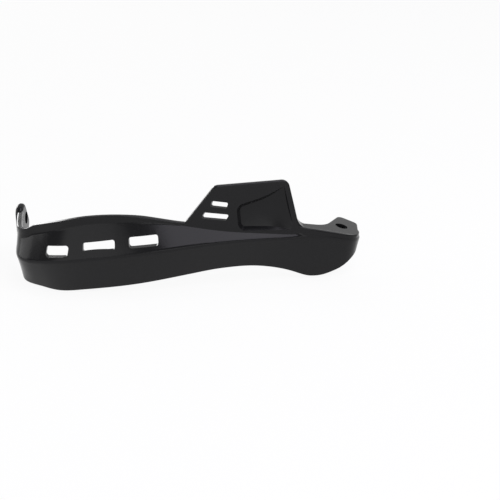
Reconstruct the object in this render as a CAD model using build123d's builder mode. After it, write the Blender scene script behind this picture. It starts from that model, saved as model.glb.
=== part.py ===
"""Motorcycle hand guard: one moulding with a vented wall, a bar-end lug, a fin and an inner clamp lug.

Millimetres. The origin is the middle of the bar-end bore, on the face that meets the handlebar's end.
+X runs along the bar towards the clamp, +Y towards the rider and +Z up.
"""

from build123d import *
from dataclasses import dataclass
from math import atan, cos, degrees, radians, sin, tan
import os

# Wall
wall = 4.2
rim_round = 1.1
crease_round = 2.2
base_round = 1.6
round_share = 0.36
section_pitch = 7.0
wall_stop = 2.0

# Plan of the wall's foremost line, from the bar end round the front to the clamp
end_wall_run = 51.4
end_wall_splay = 8.0
corner_radius = 22.2
corner_turn = 54.0
brow_radius = 110.0
brow_turn = 26.0
flank_radius = 300.0
flank_turn = 16.5
arm_length = 130.5
toe_radius = 17.0
toe_turn = 75.0
toe_return = 4.0

# Bar-end lug
boss_wall = 6.6
boss_proud = 0.6
bar_bore = 10.5
bar_lug_top = 14.8
bar_lug_shoulder = 12.5
bar_lug_crown = 0.5
bar_lug_front = 13.0
bar_lug_reach = 13.6
bar_lug_hip = 8.0
bar_lug_heel = 5.0
bar_lug_drop = 16.0
bar_lug_toe = 19.0
bar_lug_round = 7.0
lug_edge_round = 2.8

# Shelf and clamp lug, which droop towards the clamp
shelf_start = 88.0
shelf_level = 16.5
shelf_droop = 14.8
shelf_thick = 3.8
shelf_sink = 0.3
shelf_inset = 2.1
shelf_slip = 3.0
shelf_depth = 10.0
clamp_bore = 10.5
clamp_past = 2.9
clamp_in = 19.8
clamp_lug_lead = 5.0
clamp_lug_bend = 11.0
clamp_lug_side = 24.0
clamp_lug_depth = 44.5
clamp_lug_peak = 4.8
clamp_lug_round = 5.0
cheek_back = 15.7
cheek_rise = 6.6
cheek_round = 24.0
shelf_edge_round = 1.2

# Fin, a flat plate on the wall's base line
fin_set = 10.3
fin_level = 20.0
fin_turn = 4.5
fin_lean = 8.0
fin_wall = 3.0
fin_rise = 34.9
fin_top_fall = 1.9
fin_top_left = 24.0
fin_edge_run = 8.6
fin_foot_right = 92.4
fin_tail = 9.0
fin_tail_rise = 5.2
fin_heel = 1.4
fin_heel_rise = 2.8
fin_heel_round = 5.0
fin_root = 5.0
fin_skirt = 2.0
fin_root_run = 15.0
fin_corner_round = 6.5
fin_edge_round = 1.5
fin_foot_round = 12.0
fin_flare = 8.0
fin_flare_drop = 0.5
fin_rim_depth = 9.5
fin_rim_width = 3.8
fin_rim_set = 1.2
fin_rim_start = 0.4
fin_rim_full = 0.6

# Vents
vent_round = 2.0
fin_vent_round = 1.2
fin_vent_skew = 30.0

# Pocket in the fin: a shallow bowl, steep at its outer end, that lifts towards the rim
pocket_depth = 4.4
pocket_slope = 3.2
pocket_wall = 3.0
pocket_left = 41.0
pocket_knee = 57.0
pocket_top = 20.0
pocket_fall = 4.5
pocket_foot = -7.0
pocket_foot_run = 1.5
pocket_foot_rise = 1.3
pocket_lift = 28.0
bowl_round = 140.0
bowl_level = -3.0
bowl_arc = 180.0
pocket_round = 7.0
pocket_end_share = 0.12
pocket_past = 1.15
rim_margin = 4.5
pocket_run_on = 3.0

wall_face = boss_proud - boss_wall


@dataclass(frozen=True)
class Slot:
    """One four-sided vent: its middle, length, height, slope along its length and lean of its ends."""

    x: float
    z: float
    length: float
    height: float
    slope: float
    lean: float

    def corners(self):
        """Corner points in order, from the lower outer one."""
        return [
            (
                self.x + (along * self.length + up * self.lean * self.height) / 2,
                self.z + (up * self.height + along * self.slope * self.length) / 2,
            )
            for along, up in ((-1, -1), (1, -1), (1, 1), (-1, 1))
        ]


vents = [
    Slot(40.3, 2.6, 18.6, 8.6, 0.14, 0.16),
    Slot(74.7, 8.7, 25.6, 7.9, 0.12, -0.03),
    Slot(110.3, 12.4, 23.2, 8.0, 0.06, -0.10),
]
fin_vents = [
    Slot(27.2, 17.2, 13.2, 4.7, -0.17, 0.38),
    Slot(23.6, 7.6, 20.0, 4.8, -0.15, 0.62),
]

# Plan path
with BuildLine() as plan:
    splay = Vector(0, -1).rotate(Axis.Z, end_wall_splay)
    bar_side = Vector(wall_face, 0)
    end_wall = Line(bar_side + splay * wall_stop, bar_side + splay * end_wall_run)
    corner = JernArc(end_wall @ 1, end_wall % 1, corner_radius, corner_turn)
    brow = JernArc(corner @ 1, corner % 1, brow_radius, brow_turn)
    flank = JernArc(brow @ 1, brow % 1, flank_radius, flank_turn)
    arm = Line(flank @ 1, (flank @ 1) + (flank % 1) * arm_length)
    toe = JernArc(arm @ 1, arm % 1, toe_radius, toe_turn)
    heel = Line(toe @ 1, (toe @ 1) + (toe % 1) * toe_return)


def level_at(along):
    """Height of the shelf's top at a distance along the arm."""
    return shelf_level - tan(radians(shelf_droop)) * (along - shelf_start)


def toe_along(share):
    """Distance along the arm of a point on the toe's bend."""
    return arm_length + toe_radius * sin(radians(toe_turn * share))


heel_along = toe_along(1.0) + toe_return * cos(radians(toe_turn))


@dataclass(frozen=True)
class Station:
    """One upright section: heights and set-backs of the wall's outer face, from the top to the bottom."""

    edge: Edge
    share: float
    crease: float
    band: float
    band_back: float
    lip: float
    lip_back: float
    skirt: float
    skirt_back: float


shape_names = ["crease", "band", "band_back", "lip", "lip_back", "skirt", "skirt_back"]
stations = [
    Station(end_wall, 0.00, -2.0, 8.0, 0.4, 4.0, -0.2, 10.0, 0.4),
    Station(end_wall, 0.50, -5.5, 11.6, 1.0, 6.0, -0.2, 18.5, 1.6),
    Station(corner, 0.00, -8.2, 14.2, 3.8, 7.4, -0.2, 26.0, 5.0),
    Station(corner, 0.50, -8.7, 16.3, 8.2, 7.0, -0.3, 26.3, 8.8),
    Station(corner, 1.00, -8.6, 19.8, 10.8, 6.8, -0.5, 26.6, 10.2),
    Station(brow, 0.50, -5.5, 23.7, 11.8, 6.5, -0.5, 30.6, 10.4),
    Station(brow, 1.00, -1.5, 25.6, 12.0, 6.0, -0.5, 31.6, 10.2),
    Station(flank, 0.50, 3.0, 23.2, 12.0, 5.0, -0.4, 31.2, 10.0),
    Station(flank, 1.00, 6.9, 14.5, 10.8, 2.0, 0.0, 29.2, 9.5),
    Station(arm, 0.22, 8.4, 7.4, 8.1, 5.4, 0.8, 27.6, 9.0),
    Station(arm, 0.46, 8.2, 3.8, 5.2, 5.6, 0.8, 28.3, 8.5),
    Station(arm, 0.69, level_at(0.69 * arm_length) - 9.6, 3.6, 2.3, 6.0, 0.7, 35.0, 8.5),
    Station(arm, 0.73, level_at(0.73 * arm_length) - 8.7, 3.5, 0.9, 5.2, 0.3, 36.9, 8.5),
    Station(arm, 0.77, level_at(0.77 * arm_length) - 7.9, 3.3, 0.5, 4.6, 0.1, 38.4, 8.6),
    Station(arm, 0.86, level_at(0.86 * arm_length) - 6.2, 3.0, 0.6, 3.2, 0.0, 38.0, 8.3),
    Station(arm, 1.00, level_at(arm_length) - 4.8, 2.2, 0.5, 2.6, 0.0, 27.5, 6.0),
    Station(toe, 0.50, level_at(toe_along(0.5)) - 5.0, 2.2, 0.5, 2.8, 0.0, 17.5, 3.6),
    Station(toe, 1.00, level_at(toe_along(1.0)) - 5.2, 2.2, 0.5, 3.0, 0.0, 10.5, 2.0),
    Station(heel, 1.00, level_at(heel_along) - 5.3, 2.2, 0.5, 3.1, 0.0, 9.0, 1.6),
]


def path_length(station):
    """Distance along the plan from the bar end to a station."""
    runs = [end_wall, corner, brow, flank, arm, toe, heel]
    done = runs[: runs.index(station.edge)]
    return sum(run.length for run in done) + station.share * station.edge.length


def eased(stops, values, at):
    """Smooth value of one size between the stations."""
    gaps = [right - left for left, right in zip(stops, stops[1:])]
    rises = [(right - left) / gap for left, right, gap in zip(values, values[1:], gaps)]
    slopes = [rises[0]]
    for i in range(1, len(gaps)):
        slopes.append((rises[i - 1] * gaps[i] + rises[i] * gaps[i - 1]) / (gaps[i - 1] + gaps[i]))
    slopes.append(rises[-1])
    index = max(i for i in range(len(gaps)) if stops[i] <= at or i == 0)
    gap = gaps[index]
    t = (at - stops[index]) / gap
    level = values[index] + (3 - 2 * t) * t * t * rises[index] * gap
    return level + gap * t * (1 - t) * ((1 - t) * slopes[index] - t * slopes[index + 1])


def shifted(start, end, amount):
    """Moves a point of the section sideways from the line to the next one, into the wall."""
    run = (end - start).normalized()
    return start + Vector(-run.Y, run.X) * amount


def mitre(before, middle, after, amount):
    """Corner of the inner face behind a corner of the outer face."""
    first = (middle - before).normalized()
    second = (after - middle).normalized()
    half = (first + second).normalized()
    return middle + Vector(-half.Y, half.X) * (amount / half.dot(first))


def towards(start, end, amount):
    return start + (end - start).normalized() * amount


route = plan.wire()
stops = [path_length(station) for station in stations]
sections = round(route.length / section_pitch)

# Shell: one closed section at each step of the plan, lofted from the bar end to the clamp
with BuildPart() as guard:
    for step in range(sections + 1):
        place = route @ (step / sections)
        course = route % (step / sections)
        inward = Vector(-course.Y, course.X, 0)
        at = route.length * step / sections
        crease, band, band_back, lip, lip_back, skirt, skirt_back = (
            eased(stops, [getattr(station, name) for station in stations], at) for name in shape_names
        )
        with BuildSketch(Plane(origin=place, x_dir=inward, z_dir=course)):
            top_out = Vector(band_back + lip_back, crease + band + lip)
            base_out = Vector(band_back, crease + band)
            crease_out = Vector(0, crease)
            foot_out = Vector(skirt_back, crease - skirt)
            top_in = shifted(top_out, base_out, wall)
            base_in = mitre(top_out, base_out, crease_out, wall)
            crease_in = mitre(base_out, crease_out, foot_out, wall)
            foot_in = shifted(crease_out, foot_out, wall) + (foot_out - crease_out)
            corners = [
                (top_out, rim_round),
                (base_out, base_round),
                (crease_out, crease_round),
                (foot_out, rim_round),
                (foot_in, rim_round),
                (crease_in, crease_round),
                (base_in, base_round),
                (top_in, rim_round),
            ]
            points = [point for point, _ in corners]
            befores = points[-1:] + points[:-1]
            afters = points[1:] + points[:1]
            softs = [
                min(soft, round_share * (point - before).length, round_share * (after - point).length)
                for (point, soft), before, after in zip(corners, befores, afters)
            ]
            with BuildLine():
                for index, point in enumerate(points):
                    entry = towards(point, befores[index], softs[index])
                    Line(towards(befores[index], point, softs[index - 1]), entry)
                    Bezier(entry, point, towards(point, afters[index], softs[index]))
            make_face()
    loft()

# Bar-end lug: a boss proud of both faces of the wall
with BuildPart() as bar_lug:
    with BuildSketch(Plane.YZ):
        with BuildLine():
            Polyline(
                (-bar_lug_front, bar_lug_shoulder),
                (bar_lug_crown, bar_lug_top),
                (bar_lug_reach, -bar_lug_hip),
                (bar_lug_heel, -bar_lug_drop),
                (-bar_lug_front, -bar_lug_toe),
                close=True,
            )
        make_face()
        fillet(vertices(), bar_lug_round)
    extrude(amount=-boss_wall)
    fillet(faces().filter_by(Axis.X).edges(), lug_edge_round)

# Shelf with the clamp lug at its end
arm_run = arm % 1
arm_in = Vector(-arm_run.Y, arm_run.X, 0)
droop = radians(shelf_droop)
shelf_place = (arm @ 0) + arm_run * shelf_start + Vector(0, 0, shelf_level - shelf_sink)
shelf_plane = Plane(
    origin=shelf_place,
    x_dir=arm_run * cos(droop) - Vector(0, 0, sin(droop)),
    z_dir=arm_run * sin(droop) + Vector(0, 0, cos(droop)),
)
shelf_run = (arm_length - shelf_start) / cos(droop)
clamp_along = shelf_run + clamp_past
peak = Vector(clamp_along + clamp_lug_peak, clamp_lug_depth)
cheek_foot = Vector(clamp_along - cheek_back, shelf_depth + cheek_rise)
with BuildPart() as shelf:
    with BuildSketch(shelf_plane):
        with BuildLine():
            entry = Line((-shelf_slip, shelf_inset + 2 * shelf_slip), (3 * shelf_slip, shelf_inset))
            front = Line(entry @ 1, (shelf_run + clamp_lug_lead, shelf_inset))
            bend = JernArc(front @ 1, front % 1, clamp_lug_bend, toe_turn)
            side = Line(bend @ 1, (bend @ 1) + (bend % 1) * clamp_lug_side)
            Polyline(side @ 1, peak, cheek_foot, (-shelf_slip, shelf_depth), entry @ 0)
        make_face()
        fillet([vertices().sort_by_distance(corner)[0] for corner in (side @ 1, peak)], clamp_lug_round)
        fillet(vertices().sort_by_distance(cheek_foot)[0], cheek_round)
    extrude(amount=-shelf_thick)
    fillet(
        faces().filter_by(shelf_plane).edges().filter_by(
            lambda edge: shelf_plane.to_local_coords(edge @ 0.5).Y > clamp_lug_bend
        ),
        shelf_edge_round,
    )

# Fin: a plate with a turned-back rim down its inner edge
fin_heading = Vector(1, 0, 0).rotate(Axis.Z, degrees(atan(arm_run.Y / arm_run.X)) - fin_turn)
fin_back = Vector(-fin_heading.Y, fin_heading.X, 0)
lean = radians(fin_lean)
fin_plane = Plane(
    origin=(arm @ 0) + arm_in * fin_set + Vector(0, 0, fin_level),
    x_dir=fin_heading,
    z_dir=Vector(0, 0, sin(lean)) - fin_back * cos(lean),
)


def shelf_line(u):
    """Height in the fin's plane at which it meets the shelf's top."""
    low = shelf_plane.to_local_coords(fin_plane.from_local_coords(Vector(u, 0, 0))).Z
    high = shelf_plane.to_local_coords(fin_plane.from_local_coords(Vector(u, 1, 0))).Z
    return low / (low - high)


def on_edge(share, inset):
    """Point down the fin's inner edge, moved in from it."""
    return fin_right + (fin_foot - fin_right) * share - Vector(inset, 0)


fin_start = Vector(-fin_heel, fin_heel_rise)
fin_left = Vector(fin_top_left, fin_rise - fin_top_fall)
fin_right = Vector(fin_foot_right - fin_edge_run, fin_rise)
fin_foot = Vector(fin_foot_right, shelf_line(fin_foot_right))
flare_right = fin_foot_right + fin_flare
fin_tip = Vector(flare_right, shelf_line(flare_right) - fin_flare_drop)
fin_bottom = pocket_foot - fin_root
rim_run = (fin_right - fin_foot).normalized()
rim_course = fin_plane.from_local_coords(rim_run) - fin_plane.origin
pocket_corner = Vector(pocket_left, pocket_top - pocket_fall)
pocket_end = on_edge(pocket_end_share, rim_margin)
pocket_right = fin_foot_right - rim_margin
bowl_middle = Vector(0, bowl_level)
across = Vector(rim_run.Y, -rim_run.X)
across_course = fin_plane.from_local_coords(across) - fin_plane.origin
bowl_centre = fin_plane.from_local_coords(bowl_middle) + fin_plane.z_dir * bowl_round
bowl_plane = Plane(bowl_centre - rim_course * bowl_round, across_course, -fin_plane.z_dir)
bowl_axis = Axis(bowl_centre, across_course)
fade_line = (Vector(pocket_right + pocket_run_on, fin_foot.Y) - bowl_middle).dot(across)

with BuildPart() as fin:
    with BuildSketch(fin_plane):
        with BuildLine():
            Polyline(
                (-fin_tail, fin_tail_rise),
                fin_start,
                fin_left,
                fin_right,
                fin_foot,
                fin_tip,
                fin_tip - Vector(0, fin_skirt),
                (fin_foot_right + fin_skirt, fin_bottom),
                (fin_foot_right - fin_root_run, fin_bottom),
                (pocket_left, pocket_foot - fin_root / 2),
                (-fin_tail / 2, -fin_heel),
                close=True,
            )
        make_face()
        fillet([vertices().sort_by_distance(point)[0] for point in (fin_left, fin_right)], fin_corner_round)
        fillet(vertices().sort_by_distance(fin_start)[0], fin_heel_round)
        fillet(vertices().sort_by_distance(fin_foot)[0], fin_foot_round)
    extrude(amount=-fin_wall)
    fillet(
        faces().sort_by(Axis(fin_plane.origin, fin_plane.z_dir))[-1].edges().filter_by(
            lambda edge: fin_plane.to_local_coords(edge.center()).Y > pocket_foot / 2
        ),
        fin_edge_round,
    )
    with BuildSketch(fin_plane.offset(-fin_rim_set)):
        with BuildLine():
            Polyline(
                on_edge(fin_rim_start, 0),
                fin_foot,
                fin_tip,
                fin_tip - Vector(0, 1.5 * fin_skirt),
                fin_foot - Vector(2 * fin_rim_width, 2 * fin_skirt),
                on_edge(fin_rim_full, fin_rim_width),
                close=True,
            )
        make_face()
        fillet(vertices().sort_by_distance(fin_foot)[0], fin_foot_round)
    extrude(amount=fin_rim_depth, dir=fin_back)

# Scoop of the pocket and the thicker back of its wall
scoops = []
for grow in (0.0, pocket_wall):
    with BuildPart() as scoop:
        with BuildSketch(fin_plane) as mouth:
            with BuildLine():
                top = Line(pocket_corner, (pocket_knee, pocket_top))
                TangentArc(top @ 1, pocket_end, tangent=top % 1)
                Polyline(
                    pocket_end,
                    (pocket_right, pocket_foot),
                    (pocket_left + pocket_foot_run, pocket_foot + pocket_foot_rise),
                    pocket_corner,
                )
            make_face()
            fillet(vertices().sort_by(Axis.X)[:2], pocket_round)
            if grow:
                offset(amount=grow)
        with BuildSketch(fin_plane.offset(-pocket_past * (pocket_depth + grow))):
            add(mouth.sketch_local)
            offset(amount=-pocket_past * pocket_slope)
        loft()
        with BuildSketch(bowl_plane):
            with BuildLine():
                floor = Line((0, pocket_depth + grow), (fade_line - pocket_lift, pocket_depth + grow))
                lift = TangentArc(floor @ 1, (fade_line, grow), tangent=floor % 1)
                Polyline(lift @ 1, (flare_right, -pocket_depth), (0, -pocket_depth), floor @ 0)
            make_face()
        revolve(axis=bowl_axis, revolution_arc=bowl_arc, mode=Mode.INTERSECT)
    scoops.append(scoop.part)

with guard:
    add(bar_lug.part)
    add(shelf.part)
    add(fin.part)
    add(scoops[1])
    add(scoops[0], mode=Mode.SUBTRACT)

    with BuildSketch(Plane.YZ):
        Circle(bar_bore / 2)
    extrude(amount=-boss_wall, mode=Mode.SUBTRACT)
    with BuildSketch(shelf_plane):
        with Locations((clamp_along, clamp_in)):
            Circle(clamp_bore / 2)
    extrude(amount=-2 * shelf_thick, mode=Mode.SUBTRACT)
    with BuildSketch(Plane.XZ.offset(end_wall_run / 2)):
        for vent in vents:
            with BuildLine():
                Polyline(vent.corners(), close=True)
            make_face()
        fillet(vertices(), vent_round)
    extrude(amount=end_wall_run, mode=Mode.SUBTRACT)
    with BuildSketch(fin_plane):
        for vent in fin_vents:
            with BuildLine():
                Polyline(vent.corners(), close=True)
            make_face()
        fillet(vertices(), fin_vent_round)
    vent_course = fin_back.rotate(Axis.Z, -fin_vent_skew)
    extrude(amount=2 * fin_wall, dir=vent_course, both=True, mode=Mode.SUBTRACT)

guard.part.label = "hand_guard"
os.makedirs("parts", exist_ok=True)
export_step(guard.part, "parts/hand_guard.step")
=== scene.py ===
"""Looks of a motorcycle hand guard: one satin black moulding in soft studio light.

Metres, in the part's own frame: +X along the handlebar towards the clamp, +Y towards the rider, +Z up.
"""

import logging
import math
from dataclasses import dataclass, field
from enum import Enum

import bpy
import numpy as np
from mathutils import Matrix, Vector


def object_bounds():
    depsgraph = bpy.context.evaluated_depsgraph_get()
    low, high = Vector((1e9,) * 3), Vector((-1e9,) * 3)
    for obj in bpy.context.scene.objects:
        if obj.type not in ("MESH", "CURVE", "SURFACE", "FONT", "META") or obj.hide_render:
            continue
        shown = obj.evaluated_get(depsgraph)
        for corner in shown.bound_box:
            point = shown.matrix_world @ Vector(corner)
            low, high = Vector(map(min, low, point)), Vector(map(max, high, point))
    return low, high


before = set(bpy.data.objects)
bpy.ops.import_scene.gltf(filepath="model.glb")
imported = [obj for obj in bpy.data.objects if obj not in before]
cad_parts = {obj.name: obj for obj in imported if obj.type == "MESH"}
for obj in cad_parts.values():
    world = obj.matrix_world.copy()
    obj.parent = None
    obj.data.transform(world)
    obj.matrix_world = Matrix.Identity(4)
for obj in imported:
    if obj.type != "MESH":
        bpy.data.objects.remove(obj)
cad_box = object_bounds()
log = logging.getLogger("hand_guard")


class LampRole(Enum):
    """What each softbox of the studio is there for."""

    OVERHEAD = "overhead"
    FRONT = "front"
    SIDE = "side"
    BACK = "back"
    LOW = "low"


@dataclass(frozen=True)
class MouldedPlastic:
    """Satin black plastic from a polished mould, with a faint ripple and a fine grain."""

    name: str = "satin_black_plastic"
    colour: tuple[float, float, float] = (0.006, 0.006, 0.0066)
    specular: float = 0.2
    smooth: float = 0.15
    worn: float = 0.2
    cloud_size: float = 0.03
    grain_size: float = 0.0005
    grain_height: float = 0.000012
    ripple_size: float = 0.024
    ripple_height: float = 0.00004

    def material(self) -> bpy.types.Material:
        """Builds the material: roughness drifts in clouds, and two noise heights bend the normal.

        Returns:
            The finished material, on Object coordinates.
        """
        made = bpy.data.materials.new(self.name)
        made.use_nodes = True
        tree = made.node_tree
        shader = tree.nodes["Principled BSDF"]
        shader.inputs["Base Color"].default_value = (*self.colour, 1.0)
        shader.inputs["Specular IOR Level"].default_value = self.specular
        place = tree.nodes.new("ShaderNodeTexCoord")
        clouds = self._noise(tree, place, self.cloud_size)
        spread = tree.nodes.new("ShaderNodeMapRange")
        spread.inputs["To Min"].default_value = self.smooth
        spread.inputs["To Max"].default_value = self.worn
        tree.links.new(clouds.outputs["Fac"], spread.inputs["Value"])
        tree.links.new(spread.outputs["Result"], shader.inputs["Roughness"])
        ripple = self._bump(tree, self._noise(tree, place, self.ripple_size), self.ripple_height)
        grain = self._bump(tree, self._noise(tree, place, self.grain_size), self.grain_height)
        tree.links.new(ripple.outputs["Normal"], grain.inputs["Normal"])
        tree.links.new(grain.outputs["Normal"], shader.inputs["Normal"])
        return made

    def _noise(
        self, tree: bpy.types.NodeTree, place: bpy.types.Node, size: float
    ) -> bpy.types.Node:
        """Adds a noise whose bumps are about as wide as a given size.

        Args:
            tree: The material's nodes.
            place: The texture coordinates.
            size: Width of one bump in metres.

        Returns:
            The noise node.
        """
        noise = tree.nodes.new("ShaderNodeTexNoise")
        noise.inputs["Scale"].default_value = 1.0 / size
        noise.inputs["Detail"].default_value = 1.0
        tree.links.new(place.outputs["Object"], noise.inputs["Vector"])
        return noise

    def _bump(
        self, tree: bpy.types.NodeTree, noise: bpy.types.Node, height: float
    ) -> bpy.types.Node:
        """Turns a noise into a bent normal.

        Args:
            tree: The material's nodes.
            noise: The height's source.
            height: Height of the bumps in metres.

        Returns:
            The bump node.
        """
        bump = tree.nodes.new("ShaderNodeBump")
        bump.inputs["Strength"].default_value = 1.0
        bump.inputs["Distance"].default_value = height
        tree.links.new(noise.outputs["Fac"], bump.inputs["Height"])
        return bump


@dataclass(frozen=True)
class Backdrop:
    """Pale room that the camera and the reflections see, over the light that falls on the object.

    The floor is white. The room is pale behind the object and dimmer in front of it.
    """

    white: float = 1.0
    shown: float = 0.9
    front: float = 0.3
    back: float = 0.8
    front_end: float = -0.5
    back_start: float = 0.6

    def seen(self, tree: bpy.types.NodeTree) -> bpy.types.NodeSocket:
        """Share of the backdrop in a ray: all of it for camera, glossy and transmission rays.

        Args:
            tree: Nodes of the floor's material or of the world.

        Returns:
            The socket with the share.
        """
        path = tree.nodes.new("ShaderNodeLightPath")
        pair = tree.nodes.new("ShaderNodeMath")
        pair.operation = "MAXIMUM"
        tree.links.new(path.outputs["Is Camera Ray"], pair.inputs[0])
        tree.links.new(path.outputs["Is Glossy Ray"], pair.inputs[1])
        trio = tree.nodes.new("ShaderNodeMath")
        trio.operation = "MAXIMUM"
        tree.links.new(pair.outputs[0], trio.inputs[0])
        tree.links.new(path.outputs["Is Transmission Ray"], trio.inputs[1])
        return trio.outputs[0]

    def fall(self, tree: bpy.types.NodeTree) -> bpy.types.NodeSocket:
        """Brightness of the room in a direction, dimmer to the front.

        Args:
            tree: Nodes of the world.

        Returns:
            The socket with the brightness.
        """
        place = tree.nodes.new("ShaderNodeTexCoord")
        split = tree.nodes.new("ShaderNodeSeparateXYZ")
        tree.links.new(place.outputs["Generated"], split.inputs[0])
        ease = tree.nodes.new("ShaderNodeMapRange")
        ease.interpolation_type = "SMOOTHSTEP"
        ease.inputs["From Min"].default_value = self.front_end
        ease.inputs["From Max"].default_value = self.back_start
        ease.inputs["To Min"].default_value = self.front
        ease.inputs["To Max"].default_value = self.back
        tree.links.new(split.outputs["Y"], ease.inputs["Value"])
        return ease.outputs["Result"]


@dataclass
class HandGuard:
    """The moulding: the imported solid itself, in its plastic."""

    node: str = "hand_guard"
    slot: str = "black_plastic"
    finish: MouldedPlastic = field(default_factory=MouldedPlastic)

    def dress(self) -> bpy.types.Object:
        """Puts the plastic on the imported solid.

        Returns:
            The dressed object.
        """
        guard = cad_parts[self.node]
        guard.data.materials.clear()
        guard.data.materials.append(self.finish.material())
        log.info("%s: %d triangles, %s", guard.name, len(guard.data.polygons), self.finish.name)
        return guard


@dataclass(frozen=True)
class Softbox:
    """One rectangular lamp that looks at a point."""

    role: LampRole
    place: tuple[float, float, float]
    aim: tuple[float, float, float]
    width: float
    height: float
    radiance: float
    tint: tuple[float, float, float] = (1.0, 1.0, 1.0)

    def build(self) -> bpy.types.Object:
        """Makes the lamp; its power is radiance times pi times its area.

        Returns:
            The lamp object.
        """
        lamp = bpy.data.lights.new(f"softbox_{self.role.value}", "AREA")
        lamp.shape = "RECTANGLE"
        lamp.size = self.width
        lamp.size_y = self.height
        lamp.energy = self.radiance * math.pi * self.width * self.height
        lamp.color = self.tint
        holder = bpy.data.objects.new(lamp.name, lamp)
        holder.location = self.place
        course = Vector(self.aim) - Vector(self.place)
        holder.rotation_mode = "QUATERNION"
        holder.rotation_quaternion = course.to_track_quat("-Z", "Y")
        holder.visible_camera = False
        bpy.context.scene.collection.objects.link(holder)
        log.info("%s lamp, radiance %.2f", self.role.value, self.radiance)
        return holder


@dataclass
class Studio:
    """Floor, world and softboxes round the object."""

    floor_level: float
    floor_half: float = 4.0
    floor_colour: float = 0.8
    ambient: float = 0.45
    backdrop: Backdrop = field(default_factory=Backdrop)
    lamps: list[Softbox] = field(
        default_factory=lambda: [
            Softbox(
                LampRole.OVERHEAD,
                place=(0.99, -0.85, 1.5),
                aim=(0.99, -0.85, 0.0),
                width=1.7,
                height=2.16,
                radiance=2.6,
                tint=(1.0, 0.97, 1.08),
            ),
            Softbox(
                LampRole.FRONT,
                place=(-0.888, -2.27, 0.699),
                aim=(0.08, -0.07, 0.01),
                width=1.97,
                height=1.43,
                radiance=1.2,
            ),
            Softbox(
                LampRole.SIDE,
                place=(-2.4, -0.03, 0.974),
                aim=(0.012, -0.06, 0.0),
                width=1.86,
                height=2.2,
                radiance=2.0,
            ),
            Softbox(
                LampRole.BACK,
                place=(-1.154, 1.827, 0.316),
                aim=(0.0, -0.02, 0.01),
                width=1.1,
                height=0.7,
                radiance=6.5,
            ),
            Softbox(
                LampRole.LOW,
                place=(0.888, -2.233, 0.24),
                aim=(0.2, -0.05, 0.02),
                width=1.02,
                height=0.48,
                radiance=1.6,
            ),
        ]
    )

    def build(self) -> None:
        """Builds the world, the floor and the lamps."""
        self._world()
        self._floor()
        for lamp in self.lamps:
            lamp.build()

    def _world(self) -> None:
        """Soft light from all round, with the backdrop where the camera and reflections look."""
        world = bpy.data.worlds.new("studio")
        bpy.context.scene.world = world
        world.use_nodes = True
        tree = world.node_tree
        dim = tree.nodes["Background"]
        dim.inputs["Strength"].default_value = self.ambient
        dim.inputs["Color"].default_value = (1.0, 1.0, 1.0, 1.0)
        bright = tree.nodes.new("ShaderNodeBackground")
        bright.inputs["Color"].default_value = (1.0, 1.0, 1.0, 1.0)
        tree.links.new(self.backdrop.fall(tree), bright.inputs["Strength"])
        mix = tree.nodes.new("ShaderNodeMixShader")
        tree.links.new(self.backdrop.seen(tree), mix.inputs["Fac"])
        tree.links.new(dim.outputs[0], mix.inputs[1])
        tree.links.new(bright.outputs[0], mix.inputs[2])
        tree.links.new(mix.outputs[0], tree.nodes["World Output"].inputs["Surface"])

    def _floor(self) -> None:
        """Flat square under the object: corners are plus and minus half its side."""
        sides = np.array([[-1, -1], [1, -1], [1, 1], [-1, 1]], float) * self.floor_half
        points = np.column_stack([sides, np.full(len(sides), self.floor_level)])
        mesh = bpy.data.meshes.new("floor")
        mesh.from_pydata(points.tolist(), [], [list(range(len(points)))])
        floor = bpy.data.objects.new("floor", mesh)
        bpy.context.scene.collection.objects.link(floor)
        paint = bpy.data.materials.new("pale_floor")
        paint.use_nodes = True
        tree = paint.node_tree
        matt = tree.nodes["Principled BSDF"]
        matt.inputs["Base Color"].default_value = (*[self.floor_colour] * 3, 1.0)
        matt.inputs["Roughness"].default_value = 1.0
        matt.inputs["Specular IOR Level"].default_value = 0.0
        glow = tree.nodes.new("ShaderNodeEmission")
        glow.inputs["Strength"].default_value = self.backdrop.white
        share = tree.nodes.new("ShaderNodeMath")
        share.operation = "MULTIPLY"
        share.inputs[1].default_value = self.backdrop.shown
        tree.links.new(self.backdrop.seen(tree), share.inputs[0])
        mix = tree.nodes.new("ShaderNodeMixShader")
        tree.links.new(share.outputs[0], mix.inputs["Fac"])
        tree.links.new(matt.outputs[0], mix.inputs[1])
        tree.links.new(glow.outputs[0], mix.inputs[2])
        tree.links.new(mix.outputs[0], tree.nodes["Material Output"].inputs["Surface"])
        mesh.materials.append(paint)
        log.info("floor at %.4f", self.floor_level)


@dataclass(frozen=True)
class ViewCamera:
    """Camera in front of the guard, a little above it."""

    target: tuple[float, float, float] = (0.19489, -0.06, 0.00033)
    azimuth: float = 2.0
    elevation: float = 25.0
    distance: float = 0.95
    lens: float = 84.44
    sensor: float = 36.0

    def build(self) -> bpy.types.Object:
        """Makes the camera and gives it to the scene.

        Returns:
            The camera object.
        """
        turn = math.radians(self.azimuth)
        rise = math.radians(self.elevation)
        back = Vector(
            (math.sin(turn) * math.cos(rise), -math.cos(turn) * math.cos(rise), math.sin(rise))
        )
        data = bpy.data.cameras.new("camera")
        data.lens = self.lens
        data.sensor_width = self.sensor
        camera = bpy.data.objects.new("camera", data)
        camera.location = Vector(self.target) + back * self.distance
        camera.rotation_mode = "QUATERNION"
        camera.rotation_quaternion = (-back).to_track_quat("-Z", "Y")
        bpy.context.scene.collection.objects.link(camera)
        bpy.context.scene.camera = camera
        log.info("camera at %.3f m", self.distance)
        return camera


def main() -> None:
    """Builds the guard, the studio and the camera in order."""
    logging.basicConfig(level=logging.INFO, format="%(name)s: %(message)s")
    bpy.context.scene.view_settings.view_transform = "Standard"
    HandGuard().dress()
    Studio(floor_level=cad_box[0].z).build()
    ViewCamera().build()


if __name__ == "__main__":
    main()
